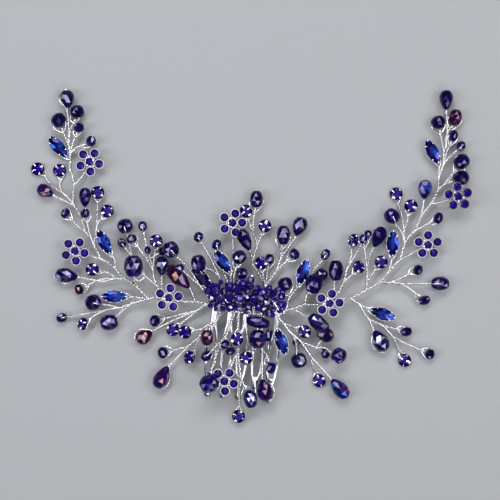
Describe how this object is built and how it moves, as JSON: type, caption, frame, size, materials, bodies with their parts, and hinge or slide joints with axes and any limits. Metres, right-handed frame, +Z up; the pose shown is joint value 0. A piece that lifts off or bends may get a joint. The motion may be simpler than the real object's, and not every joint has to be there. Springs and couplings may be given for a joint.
{
  "type": "bridal hair comb",
  "caption": "Hair comb with a bowed metal comb and two long wings of twisted wire that carry blue glass beads, drops, claw-set stones and flowers.",
  "frame": {"origin": "centre of the bounding box, at its lowest face, on the surface that the comb lies on", "axes": "+X along the wings to the right in the picture, +Y away from the comb's teeth, +Z up from the surface, towards the camera"},
  "size_m": [0.1764, 0.1335, 0.0162],
  "materials": {
    "comb_metal": "polished silver plate",
    "silver_wire": "bright silver-plated wire, twisted in pairs",
    "blue_beads": "faceted dark blue-violet glass with a thin coloured coat",
    "set_stones": "cut blue-violet glass in polished silver settings"
  },
  "bodies": {
    "root": {"comb": "comb_metal", "bar_winding": "silver_wire", "bar_beads": "blue_beads", "left_wires": "silver_wire", "top_wires": "silver_wire", "right_wires": "silver_wire", "lower_wires": "silver_wire", "left_wires_beads": "blue_beads", "top_wires_beads": "blue_beads", "right_wires_beads": "blue_beads", "lower_wires_beads": "blue_beads", "left_wires_drops": "blue_beads", "right_wires_drops": "blue_beads", "middle_drops": "blue_beads", "flower_1": "set_stones", "flower_2": "set_stones", "flower_3": "set_stones", "flower_4": "set_stones", "flower_5": "set_stones", "flower_6": "set_stones", "flower_7": "set_stones", "flower_8": "set_stones", "navette_01": "set_stones", "navette_02": "set_stones", "navette_03": "set_stones", "navette_04": "set_stones", "navette_05": "set_stones", "navette_06": "set_stones", "navette_07": "set_stones", "navette_08": "set_stones", "navette_09": "set_stones", "navette_10": "set_stones", "claw_stone_01": "set_stones", "claw_stone_02": "set_stones", "claw_stone_03": "set_stones", "claw_stone_04": "set_stones", "claw_stone_05": "set_stones", "claw_stone_06": "set_stones", "claw_stone_07": "set_stones", "claw_stone_08": "set_stones", "claw_stone_09": "set_stones", "claw_stone_10": "set_stones", "claw_stone_11": "set_stones", "claw_stone_12": "set_stones", "claw_stone_13": "set_stones", "claw_stone_14": "set_stones", "claw_stone_15": "set_stones", "claw_stone_16": "set_stones", "claw_stone_17": "set_stones", "claw_stone_18": "set_stones", "claw_stone_19": "set_stones", "claw_stone_20": "set_stones", "claw_stone_21": "set_stones", "claw_stone_22": "set_stones", "claw_stone_23": "set_stones", "claw_stone_24": "set_stones"}
  },
  "joints": []
}
